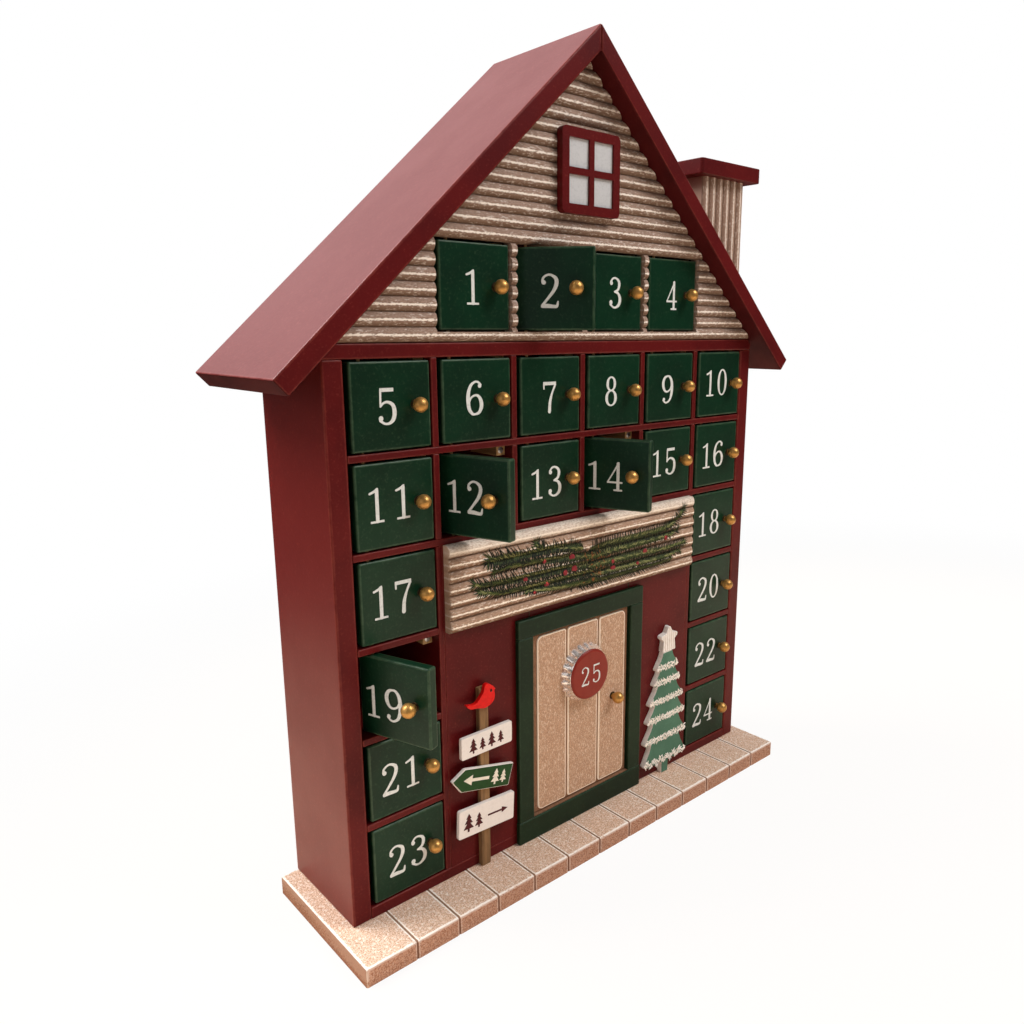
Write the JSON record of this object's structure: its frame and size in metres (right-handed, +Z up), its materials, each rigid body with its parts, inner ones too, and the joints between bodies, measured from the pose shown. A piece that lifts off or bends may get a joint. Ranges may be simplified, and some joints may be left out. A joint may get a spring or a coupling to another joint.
{
  "type": "advent calendar",
  "caption": "House-shaped wooden advent calendar: small hinged doors on shallow compartments, a large plank door, a gable roof and a chimney.",
  "frame": {"origin": "centre of the plinth underside, on the surface it stands on", "axes": "+X to the right seen from the front, +Y to the back, +Z up; the doors open towards -Y"},
  "size_m": [0.3214, 0.0945, 0.3968],
  "materials": {
    "red_paint": "satin paint",
    "green_paint": "satin paint with worn edges",
    "beige_paint": "matt dry-brushed paint",
    "whitewash": "matt whitewash over brown",
    "cream_paint": "satin paint",
    "sign_green": "matt paint",
    "bare_wood": "bare",
    "scarlet_paint": "satin paint",
    "fir_paint": "matt paint with cream ornament",
    "pane_paint": "matt paint",
    "cap_metal": "gloss lacquer on tinplate",
    "brass": "polished",
    "steel": "plain"
  },
  "bodies": {
    "house": {"left_wall": "red_paint", "right_wall": "red_paint", "back_panel": "red_paint", "bottom_board": "red_paint", "attic_floor": "red_paint", "upper_shelf": "red_paint", "middle_shelf": "red_paint", "left_column": "red_paint", "right_column": "red_paint", "upper_divider_1": "red_paint", "upper_divider_2": "red_paint", "upper_divider_3": "red_paint", "front_panel": "red_paint", "attic_cells": "red_paint", "roof_left": "red_paint", "roof_right": "red_paint", "chimney_cap": "red_paint", "window_frame": "red_paint", "base_plinth": "beige_paint", "garland_board": "beige_paint", "gable_siding": "beige_paint", "chimney_stack": "beige_paint", "left_jamb": "green_paint", "right_jamb": "green_paint", "door_head": "green_paint", "door_sill": "green_paint", "sign_post": "bare_wood", "sign_top": "cream_paint", "sign_bottom": "cream_paint", "tree_star": "cream_paint", "sign_arrow": "sign_green", "red_bird": "scarlet_paint", "fir_tree": "fir_paint", "window_panes": "pane_paint"},
    "door_01": {"door_01": "green_paint"},
    "door_02": {"door_02": "green_paint"},
    "door_03": {"door_03": "green_paint"},
    "door_04": {"door_04": "green_paint"},
    "door_05": {"door_05": "green_paint"},
    "door_06": {"door_06": "green_paint"},
    "door_07": {"door_07": "green_paint"},
    "door_08": {"door_08": "green_paint"},
    "door_09": {"door_09": "green_paint"},
    "door_10": {"door_10": "green_paint"},
    "door_11": {"door_11": "green_paint"},
    "door_12": {"door_12": "green_paint"},
    "door_13": {"door_13": "green_paint"},
    "door_14": {"door_14": "green_paint"},
    "door_15": {"door_15": "green_paint"},
    "door_16": {"door_16": "green_paint"},
    "door_17": {"door_17": "green_paint"},
    "door_18": {"door_18": "green_paint"},
    "door_19": {"door_19": "green_paint"},
    "door_20": {"door_20": "green_paint"},
    "door_21": {"door_21": "green_paint"},
    "door_22": {"door_22": "green_paint"},
    "door_23": {"door_23": "green_paint"},
    "door_24": {"door_24": "green_paint"},
    "door_25": {"door_25": "whitewash", "bottle_cap": "cap_metal"}
  },
  "joints": [
    {"name": "hinge_01", "type": "hinge", "parent": "house", "child": "door_01", "pos_m": [-0.07683, -0.01245, 0.2646], "axis": [0, 0, -1], "range_deg": [0, 110]},
    {"name": "hinge_02", "type": "hinge", "parent": "house", "child": "door_02", "pos_m": [-0.03367, -0.01245, 0.2646], "axis": [0, 0, -1], "range_deg": [-50, 60]},
    {"name": "hinge_03", "type": "hinge", "parent": "house", "child": "door_03", "pos_m": [0.0095, -0.01245, 0.2646], "axis": [0, 0, -1], "range_deg": [0, 110]},
    {"name": "hinge_04", "type": "hinge", "parent": "house", "child": "door_04", "pos_m": [0.05267, -0.01245, 0.2646], "axis": [0, 0, -1], "range_deg": [0, 110]},
    {"name": "hinge_05", "type": "hinge", "parent": "house", "child": "door_05", "pos_m": [-0.12, -0.01265, 0.2168], "axis": [0, 0, -1], "range_deg": [0, 110]},
    {"name": "hinge_06", "type": "hinge", "parent": "house", "child": "door_06", "pos_m": [-0.07683, -0.01265, 0.2168], "axis": [0, 0, -1], "range_deg": [0, 110]},
    {"name": "hinge_07", "type": "hinge", "parent": "house", "child": "door_07", "pos_m": [-0.03367, -0.01265, 0.2168], "axis": [0, 0, -1], "range_deg": [0, 110]},
    {"name": "hinge_08", "type": "hinge", "parent": "house", "child": "door_08", "pos_m": [0.0095, -0.01265, 0.2168], "axis": [0, 0, -1], "range_deg": [0, 110]},
    {"name": "hinge_09", "type": "hinge", "parent": "house", "child": "door_09", "pos_m": [0.05267, -0.01265, 0.2168], "axis": [0, 0, -1], "range_deg": [0, 110]},
    {"name": "hinge_10", "type": "hinge", "parent": "house", "child": "door_10", "pos_m": [0.09583, -0.01265, 0.2168], "axis": [0, 0, -1], "range_deg": [0, 110]},
    {"name": "hinge_11", "type": "hinge", "parent": "house", "child": "door_11", "pos_m": [-0.12, -0.01265, 0.1763], "axis": [0, 0, -1], "range_deg": [0, 110]},
    {"name": "hinge_12", "type": "hinge", "parent": "house", "child": "door_12", "pos_m": [-0.07683, -0.01265, 0.1763], "axis": [0, 0, -1], "range_deg": [-72, 38]},
    {"name": "hinge_13", "type": "hinge", "parent": "house", "child": "door_13", "pos_m": [-0.03367, -0.01265, 0.1763], "axis": [0, 0, -1], "range_deg": [0, 110]},
    {"name": "hinge_14", "type": "hinge", "parent": "house", "child": "door_14", "pos_m": [0.0095, -0.01265, 0.1763], "axis": [0, 0, -1], "range_deg": [-67, 43]},
    {"name": "hinge_15", "type": "hinge", "parent": "house", "child": "door_15", "pos_m": [0.05267, -0.01265, 0.1763], "axis": [0, 0, -1], "range_deg": [0, 110]},
    {"name": "hinge_16", "type": "hinge", "parent": "house", "child": "door_16", "pos_m": [0.09583, -0.01265, 0.1763], "axis": [0, 0, -1], "range_deg": [0, 110]},
    {"name": "hinge_17", "type": "hinge", "parent": "house", "child": "door_17", "pos_m": [-0.12, -0.01265, 0.1358], "axis": [0, 0, -1], "range_deg": [0, 110]},
    {"name": "hinge_18", "type": "hinge", "parent": "house", "child": "door_18", "pos_m": [0.09583, -0.01265, 0.1358], "axis": [0, 0, -1], "range_deg": [0, 110]},
    {"name": "hinge_19", "type": "hinge", "parent": "house", "child": "door_19", "pos_m": [-0.12, -0.01265, 0.0953], "axis": [0, 0, -1], "range_deg": [-71, 39]},
    {"name": "hinge_20", "type": "hinge", "parent": "house", "child": "door_20", "pos_m": [0.09583, -0.01265, 0.0953], "axis": [0, 0, -1], "range_deg": [0, 110]},
    {"name": "hinge_21", "type": "hinge", "parent": "house", "child": "door_21", "pos_m": [-0.12, -0.01265, 0.0548], "axis": [0, 0, -1], "range_deg": [0, 110]},
    {"name": "hinge_22", "type": "hinge", "parent": "house", "child": "door_22", "pos_m": [0.09583, -0.01265, 0.0548], "axis": [0, 0, -1], "range_deg": [0, 110]},
    {"name": "hinge_23", "type": "hinge", "parent": "house", "child": "door_23", "pos_m": [-0.12, -0.01265, 0.0143], "axis": [0, 0, -1], "range_deg": [0, 110]},
    {"name": "hinge_24", "type": "hinge", "parent": "house", "child": "door_24", "pos_m": [0.09583, -0.01265, 0.0143], "axis": [0, 0, -1], "range_deg": [0, 110]},
    {"name": "hinge_25", "type": "hinge", "parent": "house", "child": "door_25", "pos_m": [-0.027, -0.01315, 0.0211], "axis": [0, 0, -1], "range_deg": [0, 110]}
  ]
}
